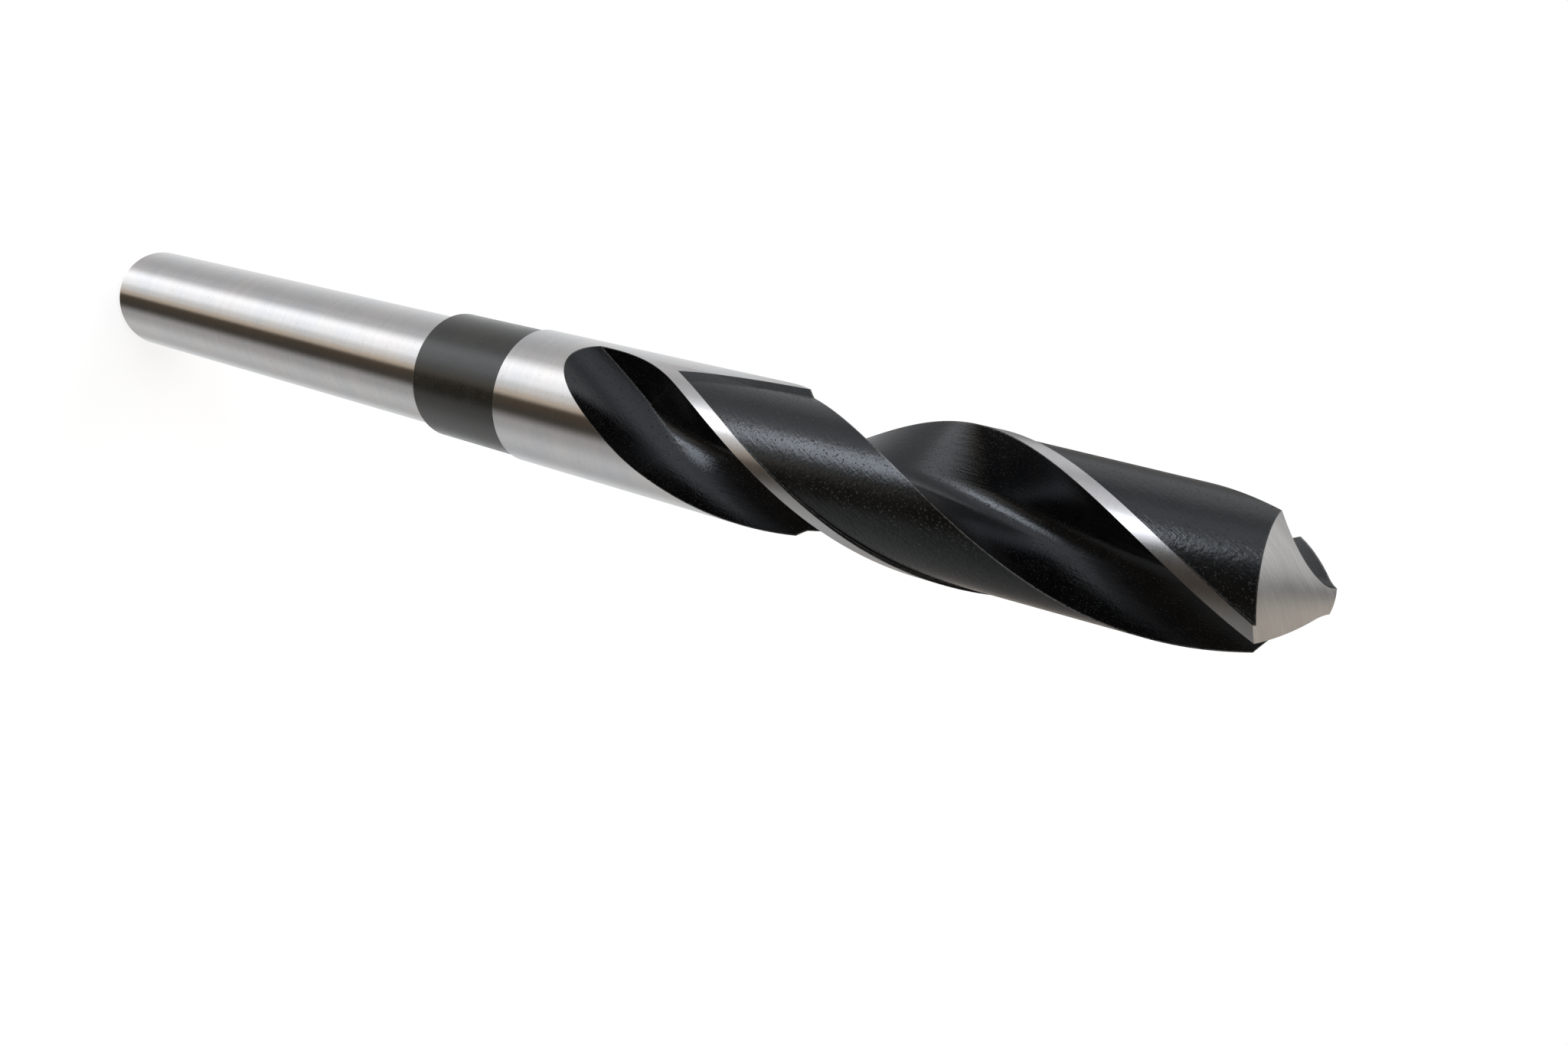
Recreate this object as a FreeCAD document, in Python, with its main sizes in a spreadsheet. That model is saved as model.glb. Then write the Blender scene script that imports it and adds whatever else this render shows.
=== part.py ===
import FreeCAD, Part
import math
import os
import Sketcher

# Twist drill with a reduced shank, millimetres.
# The axis is +Z, the shank's end face lies at z = 0 and the point is on top.
# Both flutes are left by a shaped grinding wheel that stands over +X at the start of the
# flute and then follows the helix up to the point.

SIZES = [
    ("overall_length", 152.4, "shank end to chisel edge"),
    ("shank_diameter", 12.7, "fits a half-inch chuck"),
    ("shank_length", 58.3, "shank end to the step at the neck"),
    ("shank_chamfer", 0.8, "bevel round the shank's end face"),
    ("neck_diameter", 14.2, "dark band between shank and body"),
    ("neck_length", 12.3, "length of the dark band"),
    ("body_diameter", 14.684, "cutting diameter, 37/64 inch"),
    ("step_chamfer", 0.15, "broken edges of the two steps"),
    ("plain_length", 20.2, "neck to the height where the wheel's centre starts"),
    ("helix_lead", 79.7, "rise of a flute in one full turn"),
    ("wheel_radius", 26.0, "flute wheel at its sharp corner"),
    ("wheel_swivel", 33.3, "wheel's plane to the drill axis, degrees"),
    ("wheel_shift", 0.98, "sharp corner off the drill axis, along the wheel's axis"),
    ("web_radius", 0.945, "drill axis to the wheel's rim, square to the wheel's axis"),
    ("rake_radius", 11.3, "rounded side of the wheel that cuts the rake face"),
    ("rake_lean", 32.0, "tilt of that side at the sharp corner, degrees"),
    ("heel_radius", 6.57, "rounded side of the wheel that cuts the heel's wall"),
    ("heel_lean", 16.5, "tilt of that side at the sharp corner, degrees"),
    ("margin_width", 1.35, "bright strip behind each leading edge"),
    ("clearance_at_margin", 0.3, "land ground below the cutting diameter, at the margin"),
    ("clearance_at_heel", 0.55, "the same at the heel"),
    ("clearance_ramp", 26.0, "slope at which the ground land starts, degrees"),
    ("clearance_delay", 0.1, "wheel's first centre to where the ground land starts, at the margin"),
    ("clearance_rise", 13.2, "how much higher it starts at the heel"),
    ("clearance_turn", 19.8, "how far that start turns back on its way up, degrees"),
    ("point_angle", 118.0, "included angle of the lips, degrees"),
    ("lip_offset", 1.0, "each lip ahead of the drill axis"),
    ("lip_relief", 7.1, "fall of the flank just behind the lip, degrees"),
    ("flank_cone", 51.4, "half angle of the cone that each flank is ground on, degrees"),
    ("flank_setback", 3.8, "cone's apex beyond the drill axis"),
]

FULL_TURN = 360.0
FLUTES = 2

# How finely the flute's section is worked out from the wheel, and how far round the wheel
# its nearest place and its edges are looked for, in radians.
SECTION_STEPS = 10
SCAN_STEPS = 60
NEAREST_WITHIN = 0.5
EDGE_WITHIN = 1.0
NARROWINGS = 40

# Cutters reach past the surface they cut by these shares of the drill's size.
OVERSHOOT = 1.3
SECTION_REACH = 1.1

# The swept flute starts this far above the wheel's first centre. Below that the wheel
# itself shapes the hollow, at a few stations one step apart, and there it stays a hair
# off the swept walls, so that the two never share a surface.
FLUTE_LAG = 0.5
STATIONS = 4
STATION_STEP = 2.0
HAIR = 0.015

# The land's grinding runs out past the heel, into the flute, by this many degrees. Its floor
# is worked out in steps, each looked for from a little below the slanting start.
PAST_HEEL = 8.0
LAND_STEPS = 12
BELOW_START = 0.5

WHEEL_STATION = "Sizes.shank_length + Sizes.neck_length + Sizes.plain_length"


def new_sheet(doc):
    """The driving dimensions, one row each: name, value, meaning."""
    sheet = doc.addObject("Spreadsheet::Sheet", "Sizes")
    for row, (name, value, meaning) in enumerate(SIZES, start=1):
        sheet.set(f"A{row}", name)
        sheet.set(f"B{row}", str(value))
        sheet.set(f"C{row}", meaning)
        sheet.setAlias(f"B{row}", name)
    doc.recompute()
    return sheet


def origin_feature(body, role):
    for feature in body.Origin.OriginFeatures:
        if feature.Role == role:
            return feature
    raise ValueError(role)


def new_sketch(body, name, plane, offset=None):
    sketch = body.newObject("Sketcher::SketchObject", name)
    sketch.AttachmentSupport = [(origin_feature(body, plane), "")]
    sketch.MapMode = "FlatFace"
    if offset is not None:
        sketch.AttachmentOffset = offset
    return sketch


def add_path(sketch, points, closed=True):
    """Straight lines through the points, joined end to end; returns their numbers."""
    pairs = list(zip(points, points[1:] + points[:1] if closed else points[1:]))
    lines = []
    for start, end in pairs:
        line = Part.LineSegment(FreeCAD.Vector(*start, 0), FreeCAD.Vector(*end, 0))
        lines.append(sketch.addGeometry(line))
    followers = lines[1:] + lines[:1] if closed else lines[1:]
    for line, following in zip(lines, followers):
        sketch.addConstraint(Sketcher.Constraint("Coincident", line, 2, following, 1))
    return lines


def add_arc(sketch, middle, radius, start, end):
    circle = Part.Circle(FreeCAD.Vector(*middle, 0), FreeCAD.Vector(0, 0, 1), radius)
    return sketch.addGeometry(Part.ArcOfCircle(circle, start, end))


def bind(sketch, kind, where, value, name, expression):
    """A named dimension of the sketch, driven by the sheet."""
    number = sketch.addConstraint(Sketcher.Constraint(kind, *where, value))
    sketch.renameConstraint(number, name)
    sketch.setExpression(f"Constraints.{name}", expression)


def bind_point(sketch, line, end, point, name, across, along):
    """Places one end of a line by its two distances from the sketch's origin."""
    bind(sketch, "DistanceX", (-1, 1, line, end), point[0], f"{name}_across", across)
    bind(sketch, "DistanceY", (-1, 1, line, end), point[1], f"{name}_along", along)


class Wheel:
    """The flute wheel over +X, in a frame whose height 0 is the wheel's centre.

    Its outline has a sharp corner, a rounded side that cuts the rake face, at -1, and
    one that cuts the heel's wall, at +1. Past its rounded stretch a side is flat."""

    def __init__(self, sheet):
        self.radius = sheet.wheel_radius
        self.swivel = math.radians(sheet.wheel_swivel)
        self.shift = sheet.wheel_shift
        self.centre = sheet.wheel_radius + sheet.web_radius
        self.bend = {-1: sheet.rake_radius, 1: sheet.heel_radius}
        self.lean = {-1: math.radians(sheet.rake_lean), 1: math.radians(sheet.heel_lean)}
        self.turn_per_mm = 2 * math.pi / sheet.helix_lead
        self.station = sheet.shank_length + sheet.neck_length + sheet.plain_length

    def outline(self, side, share):
        """Offset from the corner and rim radius: share 0 to 1 is round, 1 to 2 is flat."""
        bend = self.bend[side]
        lean = self.lean[side]
        angle = lean + (math.pi / 2 - lean) * min(share, 1)
        offset = side * bend * (math.sin(angle) - math.sin(lean))
        rim = self.radius + bend * (math.cos(angle) - math.cos(lean)) - bend * max(share - 1, 0)
        return offset, rim

    def point(self, offset, rim, turn):
        """Distance from the drill axis and helical angle of one point of the wheel.

        The helical angle is the angle about the drill axis, less the angle by which
        the helix has turned at that height."""
        along = self.shift + offset
        x = self.centre - rim * math.cos(turn)
        y = along * math.cos(self.swivel) + rim * math.sin(turn) * math.sin(self.swivel)
        z = rim * math.sin(turn) * math.cos(self.swivel) - along * math.sin(self.swivel)
        return math.hypot(x, y), math.atan2(y, x) - self.turn_per_mm * z

    def nearest_turn(self, offset, rim):
        """Where a circle of the wheel comes nearest to the drill axis."""
        return least(
            lambda turn: self.point(offset, rim, turn)[0], -NEAREST_WITHIN, NEAREST_WITHIN
        )

    def core(self):
        """Radius of the solid core that the wheel leaves, and its helical angle there."""
        return self.point(0, self.radius, self.nearest_turn(0, self.radius))

    def edge(self, distance, side):
        """Helical angle of one wall of the flute at a distance from the drill axis.

        The wall lies where the wheel reaches furthest to that side as it goes by."""

        def shortfall(share):
            offset, rim = self.outline(side, share)
            nearest = self.nearest_turn(offset, rim)
            if self.point(offset, rim, nearest)[0] > distance:
                return math.inf
            angles = []
            for way in (-EDGE_WITHIN, EDGE_WITHIN):
                turn = crossing(
                    lambda t: self.point(offset, rim, t)[0] - distance, nearest, nearest + way
                )
                angles.append(-side * self.point(offset, rim, turn)[1])
            return min(angles)

        shares = [2 * step / SCAN_STEPS for step in range(SCAN_STEPS + 1)]
        best = min(range(len(shares)), key=lambda number: shortfall(shares[number]))
        low = shares[max(best - 1, 0)]
        high = shares[min(best + 1, SCAN_STEPS)]
        return -side * min(shortfall(least(shortfall, low, high)), shortfall(shares[best]))


def least(function, low, high):
    """Golden-section search for the smallest value of a function."""
    ratio = (math.sqrt(5) - 1) / 2
    for _ in range(NARROWINGS):
        left = high - ratio * (high - low)
        right = low + ratio * (high - low)
        if function(left) < function(right):
            high = right
        else:
            low = left
    return (low + high) / 2


def crossing(function, low, high):
    """Zero of a function that changes sign between low and high."""
    sign = function(high) > 0
    for _ in range(NARROWINGS):
        middle = (low + high) / 2
        if (function(middle) > 0) == sign:
            high = middle
        else:
            low = middle
    return (low + high) / 2


def turned_blank(body, sheet):
    """Shank, neck and body turned in one piece, still flat at the point's end."""
    shank = sheet.shank_diameter / 2
    neck = sheet.neck_diameter / 2
    full = sheet.body_diameter / 2
    bevel = sheet.shank_chamfer
    broken = sheet.step_chamfer
    neck_start = sheet.shank_length
    neck_end = neck_start + sheet.neck_length
    top = sheet.overall_length
    outline = [
        (0, 0), (shank - bevel, 0), (shank, bevel), (shank, neck_start),
        (neck - broken, neck_start), (neck, neck_start + broken), (neck, neck_end),
        (full - broken, neck_end), (full, neck_end + broken), (full, top), (0, top),
    ]
    rules = [
        ("0", "0"),
        ("Sizes.shank_diameter / 2 - Sizes.shank_chamfer", "0"),
        ("Sizes.shank_diameter / 2", "Sizes.shank_chamfer"),
        ("Sizes.shank_diameter / 2", "Sizes.shank_length"),
        ("Sizes.neck_diameter / 2 - Sizes.step_chamfer", "Sizes.shank_length"),
        ("Sizes.neck_diameter / 2", "Sizes.shank_length + Sizes.step_chamfer"),
        ("Sizes.neck_diameter / 2", "Sizes.shank_length + Sizes.neck_length"),
        ("Sizes.body_diameter / 2 - Sizes.step_chamfer", "Sizes.shank_length + Sizes.neck_length"),
        ("Sizes.body_diameter / 2", "Sizes.shank_length + Sizes.neck_length + Sizes.step_chamfer"),
        ("Sizes.body_diameter / 2", "Sizes.overall_length"),
        ("0", "Sizes.overall_length"),
    ]
    sketch = new_sketch(body, "blank_outline", "XZ_Plane")
    lines = add_path(sketch, outline)
    for number, (line, point, rule) in enumerate(zip(lines, outline, rules)):
        bind_point(sketch, line, 1, point, f"corner{number}", *rule)
    blank = body.newObject("PartDesign::Revolution", "turned_blank")
    blank.Profile = sketch
    blank.ReferenceAxis = (sketch, ["V_Axis"])
    blank.Angle = FULL_TURN
    sketch.Visibility = False
    return blank


def section_points(wheel, reach):
    """Points of the flute's section square to the axis, rake side to heel side."""
    core, core_angle = wheel.core()
    shares = [(step / SECTION_STEPS) ** 2 for step in range(SECTION_STEPS, 0, -1)]
    distances = [core + (reach - core) * share for share in shares]
    polar = [(distance, wheel.edge(distance, -1)) for distance in distances]
    polar.append((core, core_angle))
    polar += [(distance, wheel.edge(distance, 1)) for distance in reversed(distances)]
    turned = wheel.turn_per_mm * FLUTE_LAG
    return [
        (distance * math.cos(angle + turned), distance * math.sin(angle + turned))
        for distance, angle in polar
    ]


def swept_flute(body, sheet, wheel):
    """The flute where the wheel has followed the helix, from its start past the point."""
    offset = FreeCAD.Placement(
        FreeCAD.Vector(0, 0, wheel.station + FLUTE_LAG), FreeCAD.Rotation()
    )
    sketch = new_sketch(body, "flute_section", "XY_Plane", offset)
    sketch.setExpression("AttachmentOffset.Base.z", f"{WHEEL_STATION} + {FLUTE_LAG}")
    points = section_points(wheel, SECTION_REACH * sheet.body_diameter / 2)
    wall = Part.BSplineCurve()
    wall.interpolate([FreeCAD.Vector(*point, 0) for point in points])
    curve = sketch.addGeometry(wall)
    first = points[0]
    last = points[-1]
    out = OVERSHOOT * sheet.body_diameter / 2
    lines = add_path(sketch, [last, (out, last[1]), (out, first[1]), first], closed=False)
    sketch.addConstraint(Sketcher.Constraint("Coincident", curve, 2, lines[0], 1))
    sketch.addConstraint(Sketcher.Constraint("Coincident", curve, 1, lines[-1], 2))
    flute = body.newObject("PartDesign::SubtractiveHelix", "flute")
    flute.Profile = sketch
    flute.ReferenceAxis = (origin_feature(body, "Z_Axis"), [""])
    flute.Mode = "pitch-height-angle"
    flute.setExpression("Pitch", "Sizes.helix_lead")
    flute.setExpression("Height", f"Sizes.overall_length - ({WHEEL_STATION}) + Sizes.body_diameter")
    sketch.Visibility = False
    return flute


def wheel_cut(body, sheet, wheel, number):
    """The hollow that the wheel leaves at one station near the flute's start.

    The first one is where the wheel plunged in. The next few blend it into the flute."""
    rise = number * STATION_STEP
    turn = FULL_TURN * rise / sheet.helix_lead
    swivel = FreeCAD.Rotation(FreeCAD.Vector(1, 0, 0), -sheet.wheel_swivel)
    along = FreeCAD.Rotation(FreeCAD.Vector(0, 0, 1), turn)
    offset = FreeCAD.Placement(
        FreeCAD.Vector(0, 0, wheel.station + rise), along.multiply(swivel)
    )
    sketch = new_sketch(body, f"wheel_outline_{number}", "XY_Plane", offset)
    sketch.setExpression("AttachmentOffset.Base.z", f"{WHEEL_STATION} + {rise}")
    out = OVERSHOOT * sheet.body_diameter
    corner = (sheet.web_radius + HAIR, sheet.wheel_shift)
    heel_middle = (
        corner[0] + wheel.bend[1] * math.cos(wheel.lean[1]),
        corner[1] - wheel.bend[1] * math.sin(wheel.lean[1]),
    )
    rake_middle = (
        corner[0] + wheel.bend[-1] * math.cos(wheel.lean[-1]),
        corner[1] + wheel.bend[-1] * math.sin(wheel.lean[-1]),
    )
    heel = add_arc(sketch, heel_middle, wheel.bend[1], math.pi / 2, math.pi - wheel.lean[1])
    rake = add_arc(sketch, rake_middle, wheel.bend[-1], math.pi + wheel.lean[-1], 1.5 * math.pi)
    top = heel_middle[1] + wheel.bend[1]
    foot = rake_middle[1] - wheel.bend[-1]
    outline = [(heel_middle[0], top), (out, top), (out, foot), (rake_middle[0], foot)]
    lines = add_path(sketch, outline, closed=False)
    axis = sketch.addGeometry(
        Part.LineSegment(
            FreeCAD.Vector(wheel.centre, 0, 0), FreeCAD.Vector(wheel.centre, wheel.bend[1], 0)
        ),
        True,
    )
    sketch.addConstraint(Sketcher.Constraint("Tangent", heel, 1, lines[0], 1))
    sketch.addConstraint(Sketcher.Constraint("Tangent", rake, 2, lines[2], 2))
    sketch.addConstraint(Sketcher.Constraint("Coincident", heel, 2, rake, 1))
    sketch.addConstraint(Sketcher.Constraint("Horizontal", lines[0]))
    sketch.addConstraint(Sketcher.Constraint("Vertical", lines[1]))
    sketch.addConstraint(Sketcher.Constraint("Horizontal", lines[2]))
    sketch.addConstraint(Sketcher.Constraint("Vertical", axis))
    bind(sketch, "Radius", (heel,), wheel.bend[1], "heel_radius", "Sizes.heel_radius")
    bind(sketch, "Radius", (rake,), wheel.bend[-1], "rake_radius", "Sizes.rake_radius")
    bind_point(sketch, heel, 2, corner, "corner", f"Sizes.web_radius + {HAIR}", "Sizes.wheel_shift")
    heel_reach = heel_middle[0] - corner[0]
    rake_reach = rake_middle[0] - corner[0]
    bind(
        sketch, "DistanceX", (heel, 2, heel, 3), heel_reach, "heel_reach",
        "Sizes.heel_radius * cos(Sizes.heel_lean)",
    )
    bind(
        sketch, "DistanceX", (rake, 1, rake, 3), rake_reach, "rake_reach",
        "Sizes.rake_radius * cos(Sizes.rake_lean)",
    )
    bind(sketch, "DistanceX", (-1, 1, lines[1], 1), out, "reach", f"{OVERSHOOT} * Sizes.body_diameter")
    bind(
        sketch, "DistanceX", (-1, 1, axis, 1), wheel.centre, "wheel_centre",
        "Sizes.wheel_radius + Sizes.web_radius",
    )
    cut = body.newObject("PartDesign::Groove", f"wheel_cut_{number}")
    cut.Profile = sketch
    cut.ReferenceAxis = (sketch, ["Axis0"])
    cut.Angle = FULL_TURN
    sketch.Visibility = False
    return cut


def land_clearance(body, sheet, wheel):
    """Grinds the land down behind its margin, deeper and deeper towards the heel.

    Its start slants up from the margin to the heel. The section lies in a plane through
    that slanting line which sinks into the land, so that the grinding starts with a ramp."""
    full = sheet.body_diameter / 2
    half_turn = math.radians(sheet.clearance_turn) / 2
    half_rise = sheet.clearance_rise / 2
    at_margin = (
        wheel.edge(full, -1)
        - sheet.margin_width / full
        + wheel.turn_per_mm * sheet.clearance_delay
    )
    middle_height = wheel.station + sheet.clearance_delay + half_rise
    ramp = math.radians(sheet.clearance_ramp)
    lean = math.atan2(full * math.sin(half_turn), half_rise)
    across = FreeCAD.Vector(0, math.cos(lean), math.sin(lean))
    outward = FreeCAD.Vector(1, 0, 0)
    down_ramp = across * math.cos(ramp) - outward * math.sin(ramp)
    along = FreeCAD.Vector(0, -math.sin(lean), math.cos(lean))
    square = outward * math.cos(ramp) + across * math.sin(ramp)
    middle = FreeCAD.Vector(full * math.cos(half_turn), 0, 0)
    land_turn = 2 * (half_turn + wheel.turn_per_mm * half_rise)

    def on_ramp(distance, behind):
        """Where the ramp's plane is met by the helix this far behind the margin."""
        guess = half_rise * (2 * behind / land_turn - 1)

        def place(height):
            angle = half_turn - behind + wheel.turn_per_mm * (height + half_rise)
            return FreeCAD.Vector(distance * math.cos(angle), distance * math.sin(angle), height)

        height = crossing(
            lambda z: square.dot(place(z) - middle), guess - BELOW_START, guess + half_rise
        )
        offset = place(height) - middle
        return offset.dot(down_ramp), offset.dot(along)

    floor = []
    for step in range(LAND_STEPS + 1):
        behind = (land_turn + math.radians(PAST_HEEL)) * step / LAND_STEPS
        fall = (sheet.clearance_at_heel - sheet.clearance_at_margin) * behind / land_turn
        floor.append(on_ramp(full - sheet.clearance_at_margin - fall, behind))
    corner = on_ramp(full, 0)
    out = (OVERSHOOT - 1) * full
    stretch = (out + corner[0]) / (floor[0][0] - corner[0])
    low = (-out, corner[1] - stretch * (floor[0][1] - corner[1]))
    high = (-out, floor[-1][1])
    round_axis = FreeCAD.Rotation(FreeCAD.Vector(0, 0, 1), math.degrees(at_margin - half_turn))
    raised = FreeCAD.Rotation(down_ramp, along, square, "ZXY")
    foot = round_axis.multVec(middle)
    offset = FreeCAD.Placement(
        FreeCAD.Vector(foot.x, foot.y, middle_height), round_axis.multiply(raised)
    )
    sketch = new_sketch(body, "clearance_section", "XY_Plane", offset)
    sketch.setExpression(
        "AttachmentOffset.Base.z", f"{WHEEL_STATION} + Sizes.clearance_delay + Sizes.clearance_rise / 2"
    )
    ground = Part.BSplineCurve()
    ground.interpolate([FreeCAD.Vector(*point, 0) for point in floor])
    curve = sketch.addGeometry(ground)
    lines = add_path(sketch, [floor[-1], high, low, floor[0]], closed=False)
    sketch.addConstraint(Sketcher.Constraint("Coincident", curve, 2, lines[0], 1))
    sketch.addConstraint(Sketcher.Constraint("Coincident", curve, 1, lines[-1], 2))
    clearance = body.newObject("PartDesign::SubtractiveHelix", "land_clearance")
    clearance.Profile = sketch
    clearance.ReferenceAxis = (origin_feature(body, "Z_Axis"), [""])
    clearance.Mode = "pitch-height-angle"
    clearance.Reversed = True
    clearance.setExpression("Pitch", "Sizes.helix_lead")
    clearance.setExpression("Height", f"Sizes.overall_length - ({WHEEL_STATION})")
    sketch.Visibility = False
    return clearance


def ground_flank(body, sheet, wheel):
    """One flank of the point: the drill swung against a wheel about a tilted axis.

    What stays lies inside a cone. The lip is a straight line on the cone, and the cone
    falls away behind it. Where the two cones meet is the chisel edge."""
    full = sheet.body_diameter / 2
    half_point = math.radians(sheet.point_angle / 2)
    cone = math.radians(sheet.flank_cone)
    lip_down = FreeCAD.Vector(math.sin(half_point), 0, -math.cos(half_point))
    square_to_lip = FreeCAD.Vector(math.cos(half_point), 0, math.sin(half_point))
    relief = FreeCAD.Rotation(lip_down, sheet.lip_relief)
    outward = relief.multVec(square_to_lip)
    cone_down = lip_down * math.cos(cone) - outward * math.sin(cone)
    sideways = cone_down.cross(outward).normalize()
    across = cone_down.cross(sideways).normalize()
    apex = FreeCAD.Vector(-sheet.flank_setback, sheet.lip_offset, sheet.flank_setback / math.tan(half_point))
    apex.z += sheet.overall_length - cone_height(apex, cone_down, cone)
    corner_height = apex.z - (full + sheet.flank_setback) / math.tan(half_point)
    lip_angle = (
        wheel.edge(full, -1)
        + wheel.turn_per_mm * (corner_height - wheel.station)
        - math.asin(sheet.lip_offset / full)
    )
    to_lip = FreeCAD.Placement(
        FreeCAD.Vector(0, 0, 0), FreeCAD.Rotation(FreeCAD.Vector(0, 0, 1), math.degrees(lip_angle))
    )
    on_cone = FreeCAD.Placement(
        apex, FreeCAD.Rotation(across, cone_down * -1, across.cross(cone_down * -1), "ZXY")
    )
    sketch = new_sketch(body, "flank_outline", "XY_Plane", to_lip.multiply(on_cone))
    width = 2 * OVERSHOOT * full
    fall = width / math.tan(cone)
    outline = [(0, 0), (width, -fall), (width, full), (0, full)]
    lines = add_path(sketch, outline)
    sketch.addConstraint(Sketcher.Constraint("Vertical", lines[1]))
    sketch.addConstraint(Sketcher.Constraint("Horizontal", lines[2]))
    sketch.addConstraint(Sketcher.Constraint("Coincident", -1, 1, lines[0], 1))
    sketch.addConstraint(Sketcher.Constraint("PointOnObject", lines[3], 1, -2))
    reach = f"{OVERSHOOT} * Sizes.body_diameter"
    bind(sketch, "DistanceX", (-1, 1, lines[1], 1), width, "reach", reach)
    bind(sketch, "DistanceY", (lines[0], 2, -1, 1), fall, "fall", f"{reach} / tan(Sizes.flank_cone)")
    bind(sketch, "DistanceY", (-1, 1, lines[2], 1), full, "headroom", "Sizes.body_diameter / 2")
    flank = body.newObject("PartDesign::Groove", "ground_flank")
    flank.Profile = sketch
    flank.ReferenceAxis = (sketch, ["V_Axis"])
    flank.Angle = FULL_TURN
    sketch.Visibility = False
    return flank


def cone_height(apex, down, cone):
    """Height at which the drill axis pierces a cone with this apex, axis and half angle."""
    narrow = math.cos(cone) ** 2
    beside = apex.x * down.x + apex.y * down.y
    spread = apex.x ** 2 + apex.y ** 2
    a = down.z ** 2 - narrow
    b = -2 * beside * down.z
    c = beside ** 2 - narrow * spread
    root = math.sqrt(b ** 2 - 4 * a * c)
    depths = [(-b - root) / (2 * a), (-b + root) / (2 * a)]
    below = [depth for depth in depths if depth * down.z - beside > 0]
    return apex.z + max(below)


def check(doc, body):
    """Stops with a plain message if anything in the document went wrong."""
    for item in doc.Objects:
        if "Invalid" in item.State or "Error" in item.State:
            raise RuntimeError(f"{item.Label}: {item.getStatusString()}")
    if body.Shape.isNull() or not body.Shape.isValid():
        raise RuntimeError(f"{body.Label} has no valid shape")
    if len(body.Shape.Solids) != 1:
        raise RuntimeError(f"{body.Label} is not one solid")


def main():
    doc = FreeCAD.newDocument("twist_drill")
    sheet = new_sheet(doc)
    body = doc.addObject("PartDesign::Body", "twist_drill")
    body.Label = "twist_drill"
    wheel = Wheel(sheet)
    turned_blank(body, sheet)
    cuts = [swept_flute(body, sheet, wheel)]
    for number in range(STATIONS):
        cuts.append(wheel_cut(body, sheet, wheel, number))
    cuts.append(land_clearance(body, sheet, wheel))
    cuts.append(ground_flank(body, sheet, wheel))
    pair = body.newObject("PartDesign::PolarPattern", "second_side")
    pair.Originals = cuts
    pair.Axis = (origin_feature(body, "Z_Axis"), [""])
    pair.Angle = FULL_TURN
    pair.Occurrences = FLUTES
    body.Tip = pair
    doc.recompute()
    check(doc, body)
    os.makedirs("parts", exist_ok=True)
    body.Shape.exportStep(f"parts/{body.Label}.step")
    print(f"{body.Label}: {body.Shape.Volume:.1f} cubic millimetres, {len(body.Shape.Faces)} faces")


main()
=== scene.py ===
import math

import bmesh
import bpy
from mathutils import Matrix, Quaternion, Vector


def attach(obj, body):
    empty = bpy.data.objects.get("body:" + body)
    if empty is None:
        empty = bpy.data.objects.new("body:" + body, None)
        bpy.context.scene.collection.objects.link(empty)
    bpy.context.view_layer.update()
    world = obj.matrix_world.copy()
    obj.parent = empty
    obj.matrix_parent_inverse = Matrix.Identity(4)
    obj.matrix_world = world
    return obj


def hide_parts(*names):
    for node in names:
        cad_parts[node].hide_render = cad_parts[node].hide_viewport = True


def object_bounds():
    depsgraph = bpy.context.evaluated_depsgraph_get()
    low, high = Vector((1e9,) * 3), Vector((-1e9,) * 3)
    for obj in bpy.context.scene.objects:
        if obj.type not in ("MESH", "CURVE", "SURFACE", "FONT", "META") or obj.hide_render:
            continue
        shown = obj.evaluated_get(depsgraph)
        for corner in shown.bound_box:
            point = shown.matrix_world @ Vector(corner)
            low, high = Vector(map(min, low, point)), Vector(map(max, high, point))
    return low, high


# A twist drill with a reduced shank, standing on its shank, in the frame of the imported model.
# Lengths below are millimetres and angles are degrees. The finished mesh is scaled to metres.
MM = 0.001

# The blank: shank, neck and body, turned in one piece.
SHANK_DIAMETER = 12.7
SHANK_LENGTH = 58.3
SHANK_CHAMFER = 0.8
NECK_DIAMETER = 14.2
NECK_LENGTH = 12.3
BODY_DIAMETER = 14.684
STEP_CHAMFER = 0.15
PLAIN_LENGTH = 20.2

# The flutes, and the wheel that grinds them: two rounded sides that meet at its rim in a
# sharp corner, each with its own bend, leaning away from the rim by its own angle.
HELIX_LEAD = 79.7
WHEEL_RADIUS = 26.0
WHEEL_SWIVEL = 33.3
WHEEL_SHIFT = 0.98
WEB_RADIUS = 0.945
RAKE, HEEL = -1, 1
BEND = {RAKE: 11.3, HEEL: 6.57}
LEAN = {RAKE: 32.0, HEEL: 16.5}

# What is ground off the lands behind their margins. It starts on a slanting line, which
# climbs by the rise while it goes round by the turn.
MARGIN_WIDTH = 1.35
CLEARANCE_AT_MARGIN = 0.3
CLEARANCE_AT_HEEL = 0.55
CLEARANCE_RAMP = 26.0
CLEARANCE_DELAY = 0.1
CLEARANCE_RISE = 13.2
CLEARANCE_TURN = 19.8

# The point: its lips, and the tilted cone that each flank is ground on.
POINT_ANGLE = 118.0
LIP_OFFSET = 1.0
LIP_RELIEF = 7.1
LIP_DIRECTION = 45.9
FLANK_CONE = 51.4
FLANK_SETBACK = 3.8

BODY_RADIUS = BODY_DIAMETER / 2
STATION = SHANK_LENGTH + NECK_LENGTH + PLAIN_LENGTH
TURN_PER_MM = 2 * math.pi / HELIX_LEAD

# How finely the surfaces are divided.
ROUND_STEPS = 288
WHEEL_STEPS = 512
CONE_STEPS = 360
CONE_RINGS = 14
ARC_STEPS = 24
CORNER_STEPS = 10
SWEEP_STEP = math.radians(1.5)
LAND_STEPS = 26

# The plunged wheel stays a hair off the swept flute, whose start overlaps it by a little.
# The other values say how far the cutters reach past the metal.
HAIR = 0.0015
OVERLAP = 0.2
OVERSHOOT = 1.3
SECTION_REACH = 1.1
PAST_HEEL = 8.0
BELOW_START = 0.5

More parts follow.
